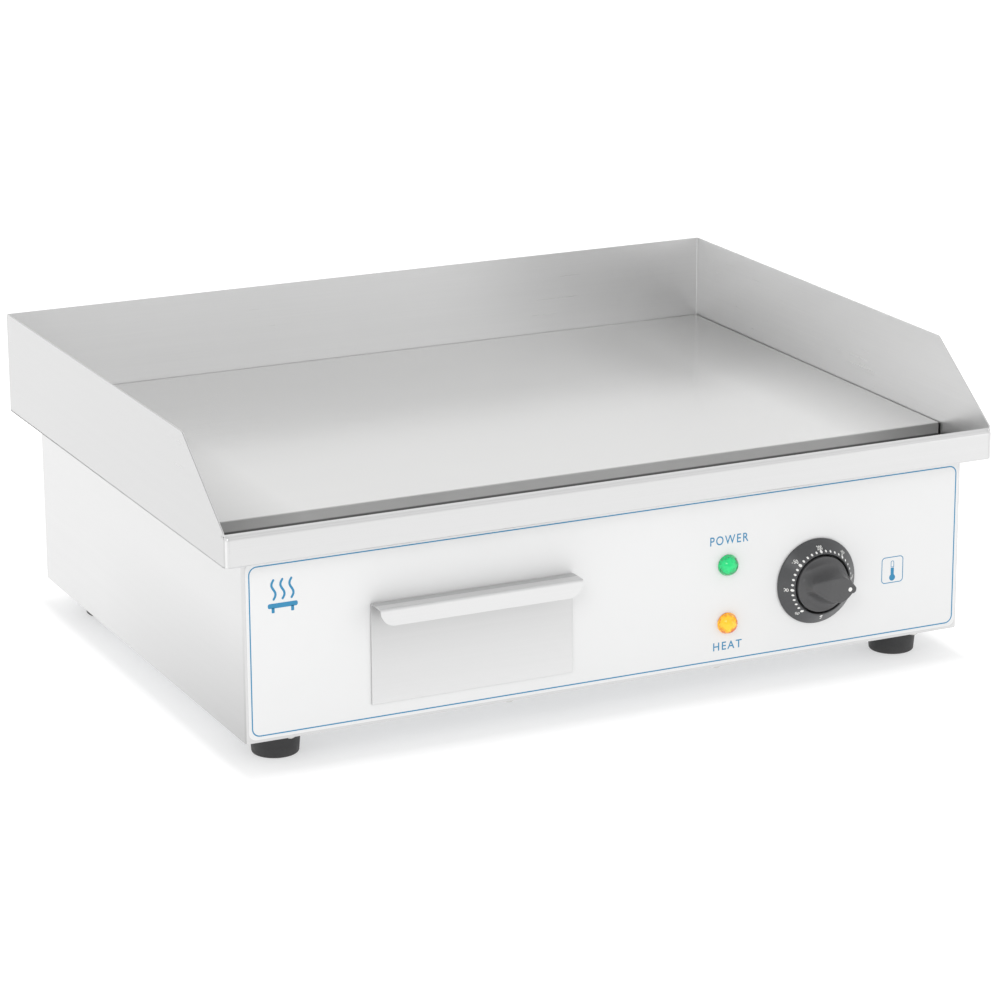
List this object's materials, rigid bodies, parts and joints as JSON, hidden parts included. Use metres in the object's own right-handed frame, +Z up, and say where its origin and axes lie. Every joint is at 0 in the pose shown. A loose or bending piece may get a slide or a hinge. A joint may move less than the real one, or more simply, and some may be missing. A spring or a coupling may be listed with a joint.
{
  "type": "electric flat top griddle",
  "caption": "Countertop electric griddle: flat steel cooking plate in a splash tray with front grease trough, on a sheet cabinet with thermostat knob, lamps and pull-out grease drawer.",
  "frame": {"origin": "on the counter, under the middle of the object's whole width and depth, knob included", "axes": "+X to the right seen from the front, +Y from the front to the back, +Z up"},
  "size_m": [0.55, 0.422, 0.2095],
  "materials": {
    "milled_steel": "bright milled carbon steel with fine lines along the width, oiled",
    "tray_steel": "fine satin stainless sheet",
    "cabinet_steel": "fine satin stainless sheet",
    "drawer_steel": "fine satin stainless sheet",
    "galvanised_sheet": "galvanised steel sheet with faint spangle",
    "inner_steel": "plain steel, darkened by heat",
    "fastener_steel": "bright zinc plate",
    "element_sheath": "heat-tinted nickel alloy tube",
    "ceramic": "glazed steatite ceramic",
    "insulation": "ceramic fibre blanket",
    "copper": "drawn copper",
    "plated_brass": "plain brass",
    "printed_film": "satin printed film, pale grey with fine blue lines",
    "black_plastic": "satin black thermoset",
    "knob_plastic": "satin black thermoset",
    "white_plastic": "natural polyamide",
    "green_lens": "clear faceted green lens, lit",
    "amber_lens": "clear faceted amber lens, lit",
    "foot_rubber": "matt black rubber",
    "lead_brown": "silicone insulation",
    "lead_blue": "silicone insulation",
    "lead_green": "silicone insulation, green and yellow"
  },
  "bodies": {
    "cabinet": {"griddle_plate": "milled_steel", "plate_studs": "inner_steel", "grease_tray": "tray_steel", "splash_back": "tray_steel", "splash_left": "tray_steel", "splash_right": "tray_steel", "drain_spout": "tray_steel", "cabinet_shell": "cabinet_steel", "rear_panel": "cabinet_steel", "base_plate": "galvanised_sheet", "panel_film": "printed_film", "heating_element_front": "element_sheath", "heating_element_rear": "element_sheath", "element_insulators": "ceramic", "element_pins": "plated_brass", "clamp_bars": "inner_steel", "clamp_nuts": "fastener_steel", "insulation_blanket": "insulation", "heat_shield": "galvanised_sheet", "thermostat_body": "ceramic", "thermostat_screws": "fastener_steel", "capillary_tube": "copper", "sensor_bulb": "copper", "bulb_clips": "inner_steel", "dial_bezel": "black_plastic", "lamp_lens_green": "green_lens", "lamp_lens_amber": "amber_lens", "lamp_bodies": "white_plastic", "lamp_clips": "fastener_steel", "drawer_housing": "galvanised_sheet", "foot_front_left": "foot_rubber", "foot_front_right": "foot_rubber", "foot_rear_left": "foot_rubber", "foot_rear_right": "foot_rubber", "foot_screws": "fastener_steel", "foot_nuts": "fastener_steel", "base_screws": "fastener_steel", "rear_screws": "fastener_steel", "cable_gland": "black_plastic", "gland_nut": "black_plastic", "terminal_block": "ceramic", "terminal_screws": "plated_brass", "thermal_cutout": "black_plastic", "bonding_stud": "plated_brass", "bonding_nuts": "plated_brass", "live_leads": "lead_brown", "neutral_leads": "lead_blue", "earth_leads": "lead_green"},
    "knob": {"knob": "knob_plastic", "thermostat_shaft": "fastener_steel"},
    "drawer": {"drawer_front": "drawer_steel", "drawer_box": "drawer_steel"}
  },
  "joints": [
    {"name": "knob_turn", "type": "hinge", "parent": "cabinet", "child": "knob", "pos_m": [0.1476, -0.1893, 0.069], "axis": [0, -1, 0], "range_deg": [0, 279]},
    {"name": "drawer_slide", "type": "slide", "parent": "cabinet", "child": "drawer", "axis": [0, -1, 0], "range_m": [0, 0.2]}
  ]
}
